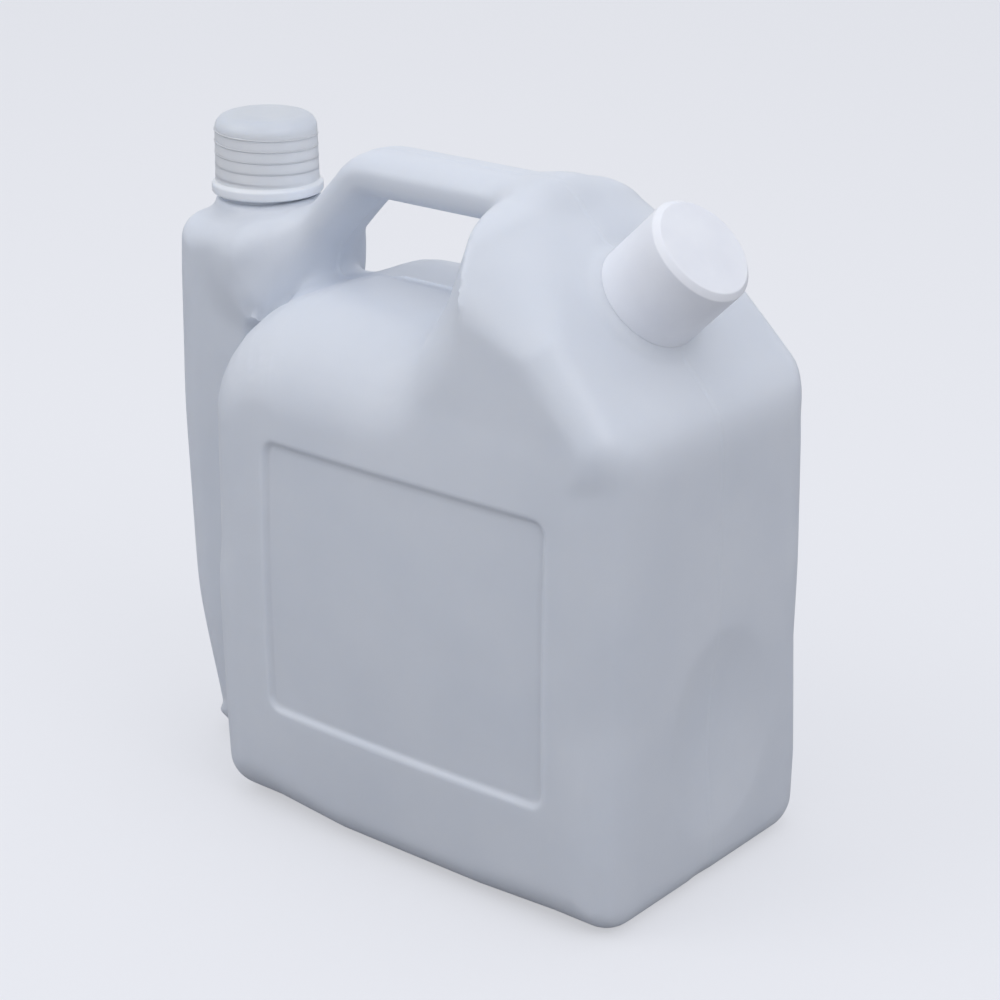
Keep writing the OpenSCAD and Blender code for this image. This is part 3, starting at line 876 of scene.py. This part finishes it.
def soft_light(name, place, aim, size, power, color=(1.0, 1.0, 1.0)):
    lamp = bpy.data.lights.new(name, "AREA")
    lamp.shape = "RECTANGLE"
    lamp.size, lamp.size_y = size
    lamp.energy = power
    lamp.color = color
    holder = bpy.data.objects.new(name, lamp)
    holder.location = place
    way = np.array(aim, float) - np.array(place, float)
    tilt = math.atan2(math.hypot(way[0], way[1]), -way[2])
    holder.rotation_euler = (tilt, 0.0, math.atan2(way[0], -way[1]) + math.pi)
    bpy.context.collection.objects.link(holder)


def studio():
    studio_floor()
    soft_light("key", (-0.8, -1.05, 1.3), (0.0, 0.0, 0.14), (1.0, 1.0), 5.6, (1.0, 1.0, 1.0))
    soft_light("top", (0.05, 0.1, 1.5), (0.0, 0.0, 0.1), (1.4, 1.0), 1.8, (0.97, 0.98, 1.0))
    soft_light("side", (1.2, -0.25, 1.15), (0.0, 0.0, 0.16), (0.9, 0.9), 4.6, (0.98, 0.98, 1.0))
    world = bpy.data.worlds.new("studio")
    world.use_nodes = True
    nodes, links = world.node_tree.nodes, world.node_tree.links
    light = nodes["Background"]
    light.inputs["Color"].default_value = (0.86, 0.90, 1.0, 1.0)
    place = nodes.new("ShaderNodeTexCoord")
    parts = nodes.new("ShaderNodeSeparateXYZ")
    rise = nodes.new("ShaderNodeMapRange")
    rise.inputs["From Min"].default_value = -0.1
    rise.inputs["To Min"].default_value = 0.52
    rise.inputs["To Max"].default_value = 0.90
    links.new(place.outputs["Generated"], parts.inputs[0])
    links.new(parts.outputs["Z"], rise.inputs["Value"])
    links.new(rise.outputs["Result"], light.inputs["Strength"])
    backdrop = nodes.new("ShaderNodeBackground")
    backdrop.inputs["Color"].default_value = (0.80, 0.81, 0.83, 1.0)
    seen = nodes.new("ShaderNodeLightPath")
    mirrored = nodes.new("ShaderNodeMath")
    mirrored.operation = "MAXIMUM"
    shown = nodes.new("ShaderNodeMath")
    shown.operation = "MAXIMUM"
    choice = nodes.new("ShaderNodeMixShader")
    links.new(seen.outputs["Is Glossy Ray"], mirrored.inputs[0])
    links.new(seen.outputs["Is Transmission Ray"], mirrored.inputs[1])
    links.new(seen.outputs["Is Camera Ray"], shown.inputs[0])
    links.new(mirrored.outputs[0], shown.inputs[1])
    links.new(shown.outputs[0], choice.inputs[0])
    links.new(light.outputs[0], choice.inputs[1])
    links.new(backdrop.outputs[0], choice.inputs[2])
    links.new(choice.outputs[0], nodes["World Output"].inputs[0])
    bpy.context.scene.world = world


def camera():
    data = bpy.data.cameras.new("camera")
    data.lens = LENS
    data.sensor_width = 36.0
    data.clip_start = 0.01
    holder = bpy.data.objects.new("camera", data)
    holder.location = CAMERA_PLACE
    holder.rotation_euler = (math.pi / 2.0 - CAMERA_ELEVATION, 0.0, CAMERA_AZIMUTH)
    bpy.context.collection.objects.link(holder)
    bpy.context.scene.camera = holder


bpy.context.scene.view_settings.view_transform = "Standard"
camera()
studio()
skin_group = moulded_group()
helix_nodes = helix_tree()
HDPE = natural_hdpe(skin_group)
WHITE = white_cap(skin_group)
CAP = natural_cap(skin_group)
FOAM = foam_liner(skin_group)

hand_in(bottle(HDPE, helix_nodes), "bottle", "bottle")
hand_in(fuel_cap(WHITE, helix_nodes), "fuel_cap", "fuel_cap")
hand_in(oil_cap(CAP, helix_nodes), "oil_cap", "oil_cap")
hand_in(liner("fuel_liner_disc", place_on_spout, FOAM), "fuel_cap_liner", "fuel_cap_liner")
hand_in(liner("oil_liner_disc", place_on_oil_neck, FOAM), "oil_cap_liner", "oil_cap_liner")
